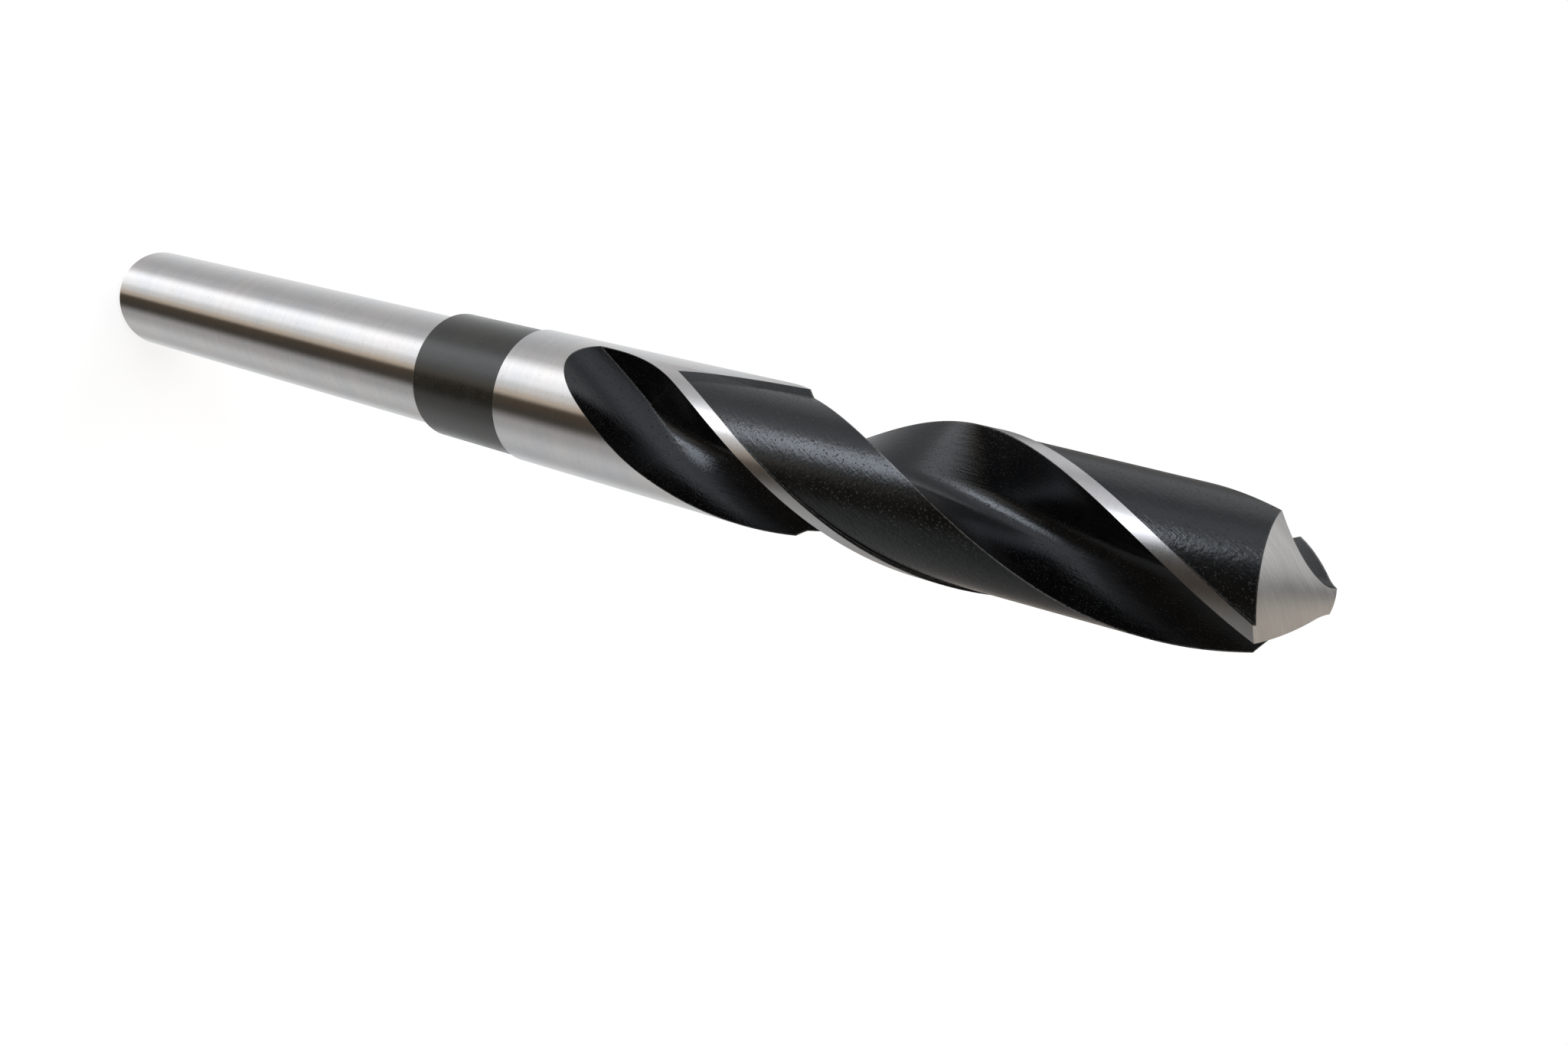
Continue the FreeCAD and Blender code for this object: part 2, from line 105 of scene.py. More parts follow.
# Where the wheel's contact with the wall is looked for: share of its side, and turn.
CONTACT_SHARE = 0.8
CONTACT_TURN = 0.35
HALVINGS = 50

# Corners nearer than these gaps become one: in a turned cutter, and in the finished mesh.
TURNED_GAP = 1e-5
SEAM_GAP = 2e-4
SHARP_EDGE = math.radians(24)

# The finishes, in the order in which the mesh holds them.
GROUND_STEEL, OXIDE_BAND, OXIDE_FLUTE, OXIDE_LAND, GROUND_POINT = range(5)
VECTOR, FLOAT = "NodeSocketVector", "NodeSocketFloat"

# Streaks and blotches: roughness or detail of the noise, and the part of its range in use.
STREAK_ROUGHNESS = 0.65
STREAK_RANGE = (0.3, 0.7)
BLOTCH_DETAIL = 5.0

# The light line along edges and creases, partly bare steel through the oxide and partly a
# painted highlight: its breadth, how far the surface bends there, as the cosines where the
# line starts and is full, and the part of the mask that breaks it up.
EDGE_WIDTH = 0.2
EDGE_SAMPLES = 4
EDGE_BEND = (0.995, 0.94)
EDGE_BREAKS = (0.1, 0.6)

# Ground steel. The margins are duller than the plain body, more and more over the reach.
WHITE = (1.0, 1.0, 1.0)
STEEL_COOL, STEEL_WARM = (0.615, 0.62, 0.63), (0.67, 0.65, 0.635)
STEEL_BAND, STEEL_LINE, STEEL_STAIN = (0.95, 0.95, 0.955), (0.95, 0.95, 0.952), (0.86, 0.84, 0.81)
STEEL_GRIND = (0.5, 0.5, 9.0)
STEEL_GRAIN = 0.5
STEEL_LINE_DEPTH = 0.0006
STEEL_ROUGHNESS = (0.1, 0.125)
STEEL_CLOUDING = 0.035
MARGIN_DULLING = 0.15
DULLING_REACH = 12.0

# The coarser grind of the flanks.
POINT_DARK, POINT_BRIGHT, POINT_LINE = (0.76, 0.745, 0.72), (0.87, 0.86, 0.855), (0.9, 0.9, 0.9)
POINT_GRIND = (9.0, 0.6, 0.6)
POINT_GRAIN = 0.4
POINT_LINE_DEPTH = 0.003
POINT_ROUGHNESS = (0.1, 0.15)
POINT_CLOUDING = 0.05

# Black oxide: the tint of its gloss, the steel colour on its edges and creases, partly bare
# steel and partly a painted highlight, and how much clouds, lines, bands and specks change
# its roughness and its height.
OXIDE_GLOSS = (0.9, 0.95, 1.0)
BARE_STEEL_HIGHLIGHT = (0.32, 0.31, 0.29)
CLOUD_ROUGHNESS = 0.04
LINE_ROUGHNESS = (-0.02, 0.03)
BAND_ROUGHNESS = 0.015
SPECK_ROUGHNESS = 0.25
LINE_HEIGHT = 1.0
SPECK_HEIGHT = -4.0

# The photograph's viewpoint. The roll turns the camera about its own line of sight.
EYE = (97.865, 13.734, 157.904)
AIM = (-0.47, 5.89, 104.359)
ROLL = 106.16
LENS = 26.765
SENSOR = 36.0
NEAR, FAR = 5.0, 50000.0

# The tent's brightness round the drill, by degrees from the camera's side: first low down,
# where the drill's sides mirror it, then high up, where the ground point does.
TENT_LOW = (
    (-150, (0.85, 0.86, 0.87)), (-80, (0.57, 0.57, 0.575)), (-62, (0.67, 0.67, 0.68)),
    (-38, (1.62, 1.63, 1.66)), (-20, (1.35, 1.37, 1.4)), (-4, (0.86, 0.85, 0.83)),
    (8, (0.66, 0.56, 0.45)), (17, (0.09, 0.07, 0.05)), (36, (0.07, 0.06, 0.05)),
    (58, (0.47, 0.46, 0.45)), (90, (0.68, 0.68, 0.68)), (122, (0.58, 0.58, 0.58)),
    (150, (0.75, 0.76, 0.77)),
)
TENT_HIGH = (
    (-178, (0.35, 0.33, 0.3)), (-165, (0.26, 0.25, 0.24)), (-149, (0.21, 0.21, 0.21)),
    (-137, (0.34, 0.34, 0.34)), (-124, (0.7, 0.7, 0.71)), (-100, (0.8, 0.8, 0.82)),
    (-80, (0.5, 0.5, 0.52)), (-58, (0.85, 0.86, 0.9)), (-36, (0.7, 0.72, 0.75)),
    (-20, (0.22, 0.22, 0.23)), (-2, (0.06, 0.055, 0.05)), (25, (0.055, 0.042, 0.032)),
    (60, (0.2, 0.2, 0.19)), (100, (0.3, 0.295, 0.29)), (135, (0.3, 0.28, 0.26)),
    (160, (0.44, 0.4, 0.36)), (178, (0.35, 0.33, 0.3)),
)

# Between these angles above the level, the low part of the tent gives way to the high part.
TENT_CHANGE = (-36.0, -16.0)

# A soft lamp in the tent: full within its core and fading out to its edge.
LAMP_AROUND, LAMP_UP = -29.0, -21.0
LAMP_CORE, LAMP_EDGE = 7.5, 15.0
LAMP_LIGHT = (3.3, 3.45, 3.7)

# The pale floor, which glows a little so that it can't be told from the backdrop.
FLOOR_SIZE = 3000.0
FLOOR_COLOUR = (0.9, 0.9, 0.9)
FLOOR_ROUGHNESS = 0.9
FLOOR_GLOW = 0.72


def crossing(function, low, high):
    """Zero of a function that changes sign between low and high."""
    sign = function(high) > 0
    for _ in range(HALVINGS):
        middle = (low + high) / 2
        if (function(middle) > 0) == sign:
            high = middle
        else:
            low = middle
    return (low + high) / 2


def wheel_outline(side, share):
    """Offset from the sharp corner, rim radius and surface direction of the flute wheel.

    Shares from 0 to 1 run along the rounded side, and from 1 to 2 along the flat."""
    lean = math.radians(LEAN[side])
    angle = lean + (math.pi / 2 - lean) * min(share, 1)
    offset = side * BEND[side] * (math.sin(angle) - math.sin(lean))
    rim = WHEEL_RADIUS + BEND[side] * (math.cos(angle) - math.cos(lean))
    rim -= BEND[side] * max(share - 1, 0)
    return offset, rim, side * math.sin(angle), math.cos(angle)


def wheel_frame():
    """The wheel's centre, the two directions that span its plane, and its axis."""
    swivel = math.radians(WHEEL_SWIVEL)
    centre = Vector((WHEEL_RADIUS + WEB_RADIUS, 0, STATION))
    inward = Vector((-1, 0, 0))
    forward = Vector((0, math.sin(swivel), math.cos(swivel)))
    axis = Vector((0, math.cos(swivel), -math.sin(swivel)))
    return centre, inward, forward, axis


def wheel_point(offset, rim, turn):
    """A place on the wheel, by its offset from the corner, its rim radius and its turn."""
    centre, inward, forward, axis = wheel_frame()
    spoke = inward * math.cos(turn) + forward * math.sin(turn)
    return centre + axis * (WHEEL_SHIFT + offset) + spoke * rim


def leaving_speed(offset, rim, across, outward, turn):
    """How fast the wheel's surface there moves away from the metal as it climbs the helix."""
    _, inward, forward, axis = wheel_frame()
    spoke = inward * math.cos(turn) + forward * math.sin(turn)
    point = wheel_point(offset, rim, turn)
    climb = Vector((-TURN_PER_MM * point.y, TURN_PER_MM * point.x, 1))
    return (axis * across + spoke * outward).dot(climb)


def contact_place(side, share):
    """Where one circle of the wheel touches the wall that it leaves behind."""
    offset, rim, across, outward = wheel_outline(side, share)
    turn = crossing(
        lambda t: leaving_speed(offset, rim, across, outward, t), -CONTACT_TURN, CONTACT_TURN
    )
    return offset, rim, turn


def contact_line():
    """The line on the wheel that leaves the flute's wall behind, rake side to heel side."""
    reach = SECTION_REACH * BODY_RADIUS
    sides = {}
    for side in (RAKE, HEEL):
        last = crossing(
            lambda s: wheel_point(*contact_place(side, s)).xy.length - reach, 0, CONTACT_SHARE
        )
        sides[side] = [
            contact_place(side, last * step / ARC_STEPS) for step in range(ARC_STEPS + 1)
        ]
    first, last = sides[RAKE][0][2], sides[HEEL][0][2]
    corner = [
        (0, WHEEL_RADIUS, first + (last - first) * step / CORNER_STEPS)
        for step in range(1, CORNER_STEPS)
    ]
    line = sides[RAKE][::-1] + corner + sides[HEEL]
    return [wheel_point(*place) for place in line]


def screwed(point, rise):
    """A point moved up the helix by some height."""
    return Matrix.Rotation(TURN_PER_MM * rise, 3, "Z") @ point + Vector((0, 0, rise))


def new_piece(bm, name, finish):
    """Turns a finished bmesh, faces outwards, into a linked object of one finish."""
    bmesh.ops.recalc_face_normals(bm, faces=bm.faces[:])
    for face in bm.faces:
        face.material_index = finish(face) if callable(finish) else finish
    mesh = bpy.data.meshes.new(name)
    bm.to_mesh(mesh)
    bm.free()
    for material in FINISHES:
        mesh.materials.append(material)
    piece = bpy.data.objects.new(name, mesh)
    bpy.context.scene.collection.objects.link(piece)
    return piece


def add_loop(bm, points):
    """A closed ring of new corners, as its edges."""
    corners = [bm.verts.new(point) for point in points]
    return [bm.edges.new(pair) for pair in zip(corners, corners[1:] + corners[:1])]


def spun(bm, edges, angle, steps, rise=0.0, merge=False):
    """Spins edges about the drill axis while they climb, and gives the last ring's edges."""
    corners = list(dict.fromkeys(corner for edge in edges for corner in edge.verts))
    made = bmesh.ops.spin(
        bm, geom=corners + edges, cent=(0, 0, 0), axis=(0, 0, 1), dvec=(0, 0, rise / steps),
        angle=angle, steps=steps, use_merge=merge, use_normal_flip=False, use_duplicate=False,
    )
    return [item for item in made["geom_last"] if isinstance(item, bmesh.types.BMEdge)]


def turned(bm, outline, steps):
    """Turns an outline of (radius, height) points once round the Z axis."""
    corners = [bm.verts.new((radius, 0, height)) for radius, height in outline]
    edges = [bm.edges.new(pair) for pair in zip(corners, corners[1:])]
    spun(bm, edges, 2 * math.pi, steps, merge=True)
    bmesh.ops.remove_doubles(bm, verts=bm.verts[:], dist=TURNED_GAP)


def close_to_point(bm, edges, point):
    """Closes a ring of edges with a fan of faces that meet in one point."""
    made = bmesh.ops.extrude_edge_only(bm, edges=edges)
    corners = [item for item in made["geom"] if isinstance(item, bmesh.types.BMVert)]
    bmesh.ops.pointmerge(bm, verts=corners, merge_co=point)


def turned_blank(top):
    """Shank, neck and body turned in one piece, still flat at the point's end."""
    shank, neck, full = SHANK_DIAMETER / 2, NECK_DIAMETER / 2, BODY_RADIUS
    neck_end = SHANK_LENGTH + NECK_LENGTH
    outline = [
        (0, 0), (shank - SHANK_CHAMFER, 0), (shank, SHANK_CHAMFER), (shank, SHANK_LENGTH),
        (neck - STEP_CHAMFER, SHANK_LENGTH), (neck, SHANK_LENGTH + STEP_CHAMFER), (neck, neck_end),
        (full - STEP_CHAMFER, neck_end), (full, neck_end + STEP_CHAMFER), (full, top), (0, top),
    ]
    bm = bmesh.new()
    turned(bm, outline, ROUND_STEPS)

    def finish(face):
        height = face.calc_center_median().z
        return OXIDE_BAND if SHANK_LENGTH - HAIR < height < neck_end + HAIR else GROUND_STEEL

    return new_piece(bm, "blank", finish)


def plunged_wheel():
    """The grinding wheel where it first plunges in: it shapes the flute's run-out."""
    shares = [step / ARC_STEPS for step in range(ARC_STEPS + 1)] + [2]
    outline = [wheel_outline(RAKE, share)[:2] for share in reversed(shares)]
    outline += [wheel_outline(HEEL, share)[:2] for share in shares[1:]]
    centre, inward, forward, axis = wheel_frame()
    outline = [(outline[0][0], 0)] + outline + [(outline[-1][0], 0)]
    bm = bmesh.new()
    turned(bm, [(rim, WHEEL_SHIFT + offset) for offset, rim in outline], WHEEL_STEPS)
    turn = Matrix((inward, forward, axis)).transposed().to_4x4()
    place = Matrix.Translation(centre + Vector((HAIR, 0, 0))) @ turn
    bmesh.ops.transform(bm, matrix=place, verts=bm.verts[:])
    return new_piece(bm, "plunged_wheel", OXIDE_FLUTE)


def swept_flute(top):
    """The space that the wheel sweeps as it climbs from its first place past the point."""
    line = contact_line()
    start = [screwed(point, -OVERLAP) for point in line]
    out = OVERSHOOT * BODY_DIAMETER
    middle = Vector((out / 2, 0, STATION))
    outer = [Vector((out, point.y, point.z)) for point in (start[-1], start[0])]
    bm = bmesh.new()
    edges = add_loop(bm, start + outer)
    rise = top - STATION + BODY_DIAMETER
    angle = TURN_PER_MM * rise
    steps = math.ceil(angle / SWEEP_STEP)
    last = spun(bm, edges, angle, steps, rise)
    close_to_point(bm, edges, middle)
    close_to_point(bm, last, screwed(middle, rise))
    return new_piece(bm, "swept_flute", OXIDE_FLUTE)


def rake_edge_angle(line):
    """Angle of the flute's leading edge on the body's cylinder, taken back to the station."""
    for inner, outer in zip(line[1:], line):
        near, far = inner.xy.length, outer.xy.length
        if near <= BODY_RADIUS <= far:
            share = (BODY_RADIUS - near) / (far - near)
            point = inner.lerp(outer, share)
            return math.atan2(point.y, point.x) - TURN_PER_MM * (point.z - STATION)
    raise ValueError("the wheel does not reach the body's cylinder")


def ground_land(top, rake_angle):
    """What is ground off the land behind its margin, deeper and deeper towards the heel.

    It starts on a ramp: a plane through the slanting start that sinks into the land."""
    half_turn = math.radians(CLEARANCE_TURN) / 2
    half_rise = CLEARANCE_RISE / 2
    at_margin = rake_angle - MARGIN_WIDTH / BODY_RADIUS + TURN_PER_MM * CLEARANCE_DELAY
    ramp = math.radians(CLEARANCE_RAMP)
    lean = math.atan2(BODY_RADIUS * math.sin(half_turn), half_rise)
    outward = Vector((1, 0, 0))
    across = Vector((0, math.cos(lean), math.sin(lean)))
    down_ramp = across * math.cos(ramp) - outward * math.sin(ramp)
    square = outward * math.cos(ramp) + across * math.sin(ramp)
    land_turn = 2 * (half_turn + TURN_PER_MM * half_rise)

    def on_ramp(distance, behind):
        """Offset from the start's middle to where the helix this far behind meets the ramp."""
        guess = half_rise * (2 * behind / land_turn - 1)

        def offset(height):
            angle = half_turn - behind + TURN_PER_MM * (height + half_rise)
            x = distance * math.cos(angle) - BODY_RADIUS * math.cos(half_turn)
            return Vector((x, distance * math.sin(angle), height))

        return offset(
            crossing(lambda z: square.dot(offset(z)), guess - BELOW_START, guess + half_rise)
        )

    floor = []
    for step in range(LAND_STEPS + 1):
        behind = (land_turn + math.radians(PAST_HEEL)) * step / LAND_STEPS
        depth = CLEARANCE_AT_MARGIN
        depth += (CLEARANCE_AT_HEEL - CLEARANCE_AT_MARGIN) * behind / land_turn
        floor.append(on_ramp(BODY_RADIUS - depth, behind))
    corner = on_ramp(BODY_RADIUS, 0)
    out = (OVERSHOOT - 1) * BODY_RADIUS
    up_wall = corner - floor[0]
    low = corner + up_wall * (out + corner.dot(down_ramp)) / -up_wall.dot(down_ramp)
    high = floor[-1] - down_ramp * (out + floor[-1].dot(down_ramp))
    turn = Matrix.Rotation(at_margin - half_turn, 3, "Z")
    foot = Vector((BODY_RADIUS * math.cos(half_turn), 0, STATION + CLEARANCE_DELAY + half_rise))
    bm = bmesh.new()
    edges = add_loop(bm, [turn @ (foot + offset) for offset in floor + [high, low]])
    rise = top - STATION
    angle = TURN_PER_MM * rise
    last = spun(bm, edges, angle, math.ceil(angle / SWEEP_STEP), rise)
    bmesh.ops.edgeloop_fill(bm, edges=edges)
    bmesh.ops.edgeloop_fill(bm, edges=last)
    return new_piece(bm, "ground_land", OXIDE_LAND)


def flank_cone(top, rake_angle):
    """Apex, downward axis and the turn to the lip of the cone that one flank is ground on."""
    half_point = math.radians(POINT_ANGLE / 2)
    cone = math.radians(FLANK_CONE)
    lip_down = Vector((math.sin(half_point), 0, -math.cos(half_point)))
    square_to_lip = Vector((math.cos(half_point), 0, math.sin(half_point)))
    outward = Matrix.Rotation(math.radians(LIP_RELIEF), 3, lip_down) @ square_to_lip
    down = lip_down * math.cos(cone) - outward * math.sin(cone)
    apex = Vector((-FLANK_SETBACK, LIP_OFFSET, FLANK_SETBACK / math.tan(half_point)))
    apex.z += top - axis_height(apex, down, cone)
    corner = apex.z - (BODY_RADIUS + FLANK_SETBACK) / math.tan(half_point)
    lip_angle = rake_angle + TURN_PER_MM * (corner - STATION) - math.asin(LIP_OFFSET / BODY_RADIUS)
    to_lip = Matrix.Rotation(lip_angle, 3, "Z")
    return to_lip @ apex, to_lip @ down


def axis_height(apex, down, cone):
    """Height at which the drill axis pierces a cone with this apex, axis and half angle."""
    narrow = math.cos(cone) ** 2
    beside = apex.x * down.x + apex.y * down.y
    spread = apex.x ** 2 + apex.y ** 2
    a = down.z ** 2 - narrow
    b = -2 * beside * down.z
    c = beside ** 2 - narrow * spread
    root = math.sqrt(b ** 2 - 4 * a * c)
    depths = [(-b - root) / (2 * a), (-b + root) / (2 * a)]
    return apex.z + max(depth for depth in depths if depth * down.z - beside > 0)


def ground_flank(top, rake_angle):
    """What is ground off one side of the point: everything outside a tilted cone."""
    apex, down = flank_cone(top, rake_angle)
    width = 2 * OVERSHOOT * BODY_RADIUS
    fall = width / math.tan(math.radians(FLANK_CONE))
    shares = [ring / CONE_RINGS for ring in range(CONE_RINGS + 1)]
    outline = [(width * share, -fall * share) for share in shares]
    outline += [(width, BODY_RADIUS), (0, BODY_RADIUS)]
    bm = bmesh.new()
    turned(bm, outline, CONE_STEPS)
    turn = (-down).to_track_quat("Z", "X").to_matrix().to_4x4()
    bmesh.ops.transform(bm, matrix=Matrix.Translation(apex) @ turn, verts=bm.verts[:])
    return new_piece(bm, "ground_flank", GROUND_POINT)


def second_side(piece):
    """The same cutter for the other flute, half a turn on."""
    twin = piece.copy()
    twin.data = piece.data.copy()
    twin.data.transform(Matrix.Rotation(math.pi, 4, "Z"))
    bpy.context.scene.collection.objects.link(twin)
    return twin


def carved(blank, cutters):
    """Cuts the blank with each cutter in turn and gives the finished mesh in metres."""
    for cutter in cutters:
        step = blank.modifiers.new(cutter.name, "BOOLEAN")
        step.solver = "EXACT"
        step.operation = "DIFFERENCE"
        step.object = cutter
    graph = bpy.context.evaluated_depsgraph_get()
    mesh = bpy.data.meshes.new_from_object(blank.evaluated_get(graph))
    for piece in [blank] + cutters:
        old = piece.data
        bpy.data.objects.remove(piece)
        bpy.data.meshes.remove(old)
    mesh.transform(Matrix.Scale(MM, 4))
    return mesh


def drill_mesh(top):
    """The whole drill: the turned blank less what each side's cutters take away."""
    line = contact_line()
    rake_angle = rake_edge_angle(line)
    cutters = []
    for piece in (
        plunged_wheel(), swept_flute(top), ground_land(top, rake_angle),
        ground_flank(top, rake_angle),
    ):
        cutters += [piece, second_side(piece)]
    return carved(turned_blank(top), cutters)


def sharpened(mesh):
    """Marks real edges sharp, so that only true rounds are shaded as rounds."""
    bm = bmesh.new()
    bm.from_mesh(mesh)
    bmesh.ops.remove_doubles(bm, verts=bm.verts[:], dist=SEAM_GAP * MM)
    bmesh.ops.dissolve_degenerate(bm, edges=bm.edges[:], dist=SEAM_GAP * MM)
    for edge in bm.edges:
        edge.smooth = len(edge.link_faces) == 2 and edge.calc_face_angle(0) < SHARP_EDGE
    for face in bm.faces:
        face.smooth = True
    bm.to_mesh(mesh)
    bm.free()


def put(tree, kind, inputs=None, **settings):
    """Adds a node. Inputs are named or numbered, and each is a value or another node's socket."""
    node = tree.nodes.new(kind)
    for name, value in settings.items():
        setattr(node, name, value)
    for name, value in (inputs or {}).items():
        if isinstance(value, bpy.types.NodeSocket):
            tree.links.new(value, node.inputs[name])
        else:
            node.inputs[name].default_value = value
    return node


def worked_out(tree, operation, *terms):
    """The result of a sum on numbers and sockets."""
    return put(tree, "ShaderNodeMath", dict(enumerate(terms)), operation=operation).outputs[0]


def summed(tree, *terms):
    """All the terms added up."""
    total = terms[0]
    for term in terms[1:]:
        total = worked_out(tree, "ADD", total, term)
    return total


def stretched(tree, value, low, high, **settings):
    """Turns a number into a mask that is 0 at low, 1 at high and flat beyond them."""
    inputs = {"Value": value, "From Min": low, "From Max": high}
    return put(tree, "ShaderNodeMapRange", inputs, **settings).outputs[0]


def ranged(tree, mask, low, high):
    """Turns a mask from 0 to 1 into a number between low and high."""
    inputs = {"Value": mask, "To Min": low, "To Max": high}
    return put(tree, "ShaderNodeMapRange", inputs).outputs[0]


def blended(tree, mask, low, high, **settings):
    """Blends two colours by a mask. Each of the three is a value or a socket."""
    mix = put(tree, "ShaderNodeMix", data_type="RGBA", **settings)
    for name, value in (("Factor", mask), ("A", low), ("B", high)):
        if isinstance(value, bpy.types.NodeSocket):
            tree.links.new(value, mix.inputs[name])
        elif name == "Factor":
            mix.inputs[name].default_value = value
        else:
            mix.inputs[name].default_value = (*value, 1)
    return mix.outputs["Result"]


def toned(tree, colour, mask, low, high):
    """Multiplies a colour by another that runs from low to high with the mask."""
    return blended(tree, 1.0, colour, blended(tree, mask, low, high), blend_type="MULTIPLY")


def new_group(name, takes, gives):
    """An empty shader node group with its sockets, its input node and its output node."""
    tree = bpy.data.node_groups.new(name, "ShaderNodeTree")
    for direction, sockets in (("INPUT", takes), ("OUTPUT", gives)):
        for socket, kind in sockets:
            tree.interface.new_socket(socket, in_out=direction, socket_type=kind)
    return tree, tree.nodes.new("NodeGroupInput"), tree.nodes.new("NodeGroupOutput")


def use_group(tree, name, inputs=None):
    """Places one of the shared groups and gives its outputs."""
    return put(tree, "ShaderNodeGroup", inputs, node_tree=GROUPS[name]).outputs


def drill_space():
    """Places on the drill in millimetres, also with the flutes' twist undone, and the height."""
    tree, _, gives = new_group(
        "drill_space", (), (("Straight", VECTOR), ("Untwisted", VECTOR), ("Height", FLOAT))
    )
    place = put(tree, "ShaderNodeTexCoord").outputs["Object"]
    straight = put(
        tree, "ShaderNodeVectorMath", {0: place, "Scale": 1 / MM}, operation="SCALE"
    ).outputs[0]
    height = put(tree, "ShaderNodeSeparateXYZ", {0: straight}).outputs["Z"]
    back = worked_out(tree, "MULTIPLY", height, -TURN_PER_MM)
    untwisted = put(
        tree, "ShaderNodeVectorRotate", {"Vector": straight, "Angle": back},
        rotation_type="Z_AXIS",
    ).outputs[0]
    for socket, value in (("Straight", straight), ("Untwisted", untwisted), ("Height", height)):
        tree.links.new(value, gives.inputs[socket])
    return tree


def streaks():
    """Marks drawn out along one direction: fine lines and broad bands, each from 0 to 1."""
    tree, takes, gives = new_group(
        "streaks", (("Vector", VECTOR), ("Fineness", VECTOR)), (("Lines", FLOAT), ("Bands", FLOAT))
    )
    drawn = put(
        tree, "ShaderNodeVectorMath", {0: takes.outputs["Vector"], 1: takes.outputs["Fineness"]},
        operation="MULTIPLY",
    ).outputs[0]
    for socket, scale, detail in (("Lines", 1.0, 4.0), ("Bands", 0.13, 2.0)):
        noise = put(tree, "ShaderNodeTexNoise", {
            "Vector": drawn, "Scale": scale, "Detail": detail, "Roughness": STREAK_ROUGHNESS,
        }).outputs[0]
        tree.links.new(stretched(tree, noise, *STREAK_RANGE), gives.inputs[socket])
    return tree


def blotches():
    """Soft clouds, a fine grain and scattered specks, each from 0 to 1."""
    tree, takes, gives = new_group(
        "blotches", (("Vector", VECTOR), ("Size", FLOAT)),
        (("Clouds", FLOAT), ("Grain", FLOAT), ("Specks", FLOAT)),
    )
    small = worked_out(tree, "DIVIDE", 1.0, takes.outputs["Size"])
    for socket, scale, low, high in (
        ("Clouds", 0.12, 0.32, 0.68), ("Grain", 1.0, 0.25, 0.75), ("Specks", 1.6, 0.62, 0.72)
    ):
        noise = put(tree, "ShaderNodeTexNoise", {
            "Vector": takes.outputs["Vector"], "Scale": worked_out(tree, "MULTIPLY", small, scale),
            "Detail": BLOTCH_DETAIL,
        }).outputs[0]
        tree.links.new(stretched(tree, noise, low, high), gives.inputs[socket])
    return tree


def edges_worn_and_highlit():
    """Edges and creases, where bare steel and a painted highlight go, broken up by an uneven mask.
    """
    tree, takes, gives = new_group(
        "edges_worn_and_highlit", (("Break-up", FLOAT), ("Width", FLOAT)), (("Wear and highlight", FLOAT),)
    )
    true = put(tree, "ShaderNodeNewGeometry").outputs["Normal"]
    rounded = put(
        tree, "ShaderNodeBevel", {"Radius": takes.outputs["Width"]}, samples=EDGE_SAMPLES
    ).outputs[0]
    bend = put(
        tree, "ShaderNodeVectorMath", {0: rounded, 1: true}, operation="DOT_PRODUCT"
    ).outputs["Value"]
    edge = stretched(tree, bend, *EDGE_BEND)
    broken = stretched(tree, takes.outputs["Break-up"], *EDGE_BREAKS)
    tree.links.new(worked_out(tree, "MULTIPLY", edge, broken), gives.inputs["Wear and highlight"])
    return tree


def new_finish(name, metallic):
    """A material with its node tree, its shader and the places on the drill."""
    material = bpy.data.materials.new(name)
    material.use_nodes = True
    tree = material.node_tree
    shader = tree.nodes["Principled BSDF"]
    shader.inputs["Metallic"].default_value = metallic
    return material, tree, shader, use_group(tree, "space")


def finished(tree, shader, colour, roughness, height, depth):
    """Gives the shader its colour, its roughness and its relief, to a depth in millimetres."""
    tree.links.new(colour, shader.inputs["Base Color"])
    tree.links.new(roughness, shader.inputs["Roughness"])
    bump = put(tree, "ShaderNodeBump", {"Height": height, "Distance": depth * MM})
    tree.links.new(bump.outputs[0], shader.inputs["Normal"])


def ground_steel():
    """Bright steel with fine lines round the axis from the grinding wheel."""
    material, tree, shader, space = new_finish("ground_steel", 1.0)
    rings = use_group(tree, "streaks", {"Vector": space["Straight"], "Fineness": STEEL_GRIND})
    spots = use_group(tree, "blotches", {"Vector": space["Straight"], "Size": STEEL_GRAIN})
    metal = blended(tree, spots["Clouds"], STEEL_COOL, STEEL_WARM)
    metal = toned(tree, metal, rings["Bands"], STEEL_BAND, WHITE)
    metal = toned(tree, metal, rings["Lines"], STEEL_LINE, WHITE)
    metal = toned(tree, metal, spots["Specks"], WHITE, STEEL_STAIN)
    past_start = stretched(tree, space["Height"], STATION, STATION + DULLING_REACH)
    rough = summed(
        tree, ranged(tree, rings["Lines"], *STEEL_ROUGHNESS),
        ranged(tree, spots["Clouds"], 0.0, STEEL_CLOUDING),
        ranged(tree, past_start, 0.0, MARGIN_DULLING),
    )
    finished(tree, shader, metal, rough, rings["Lines"], STEEL_LINE_DEPTH)
    return material


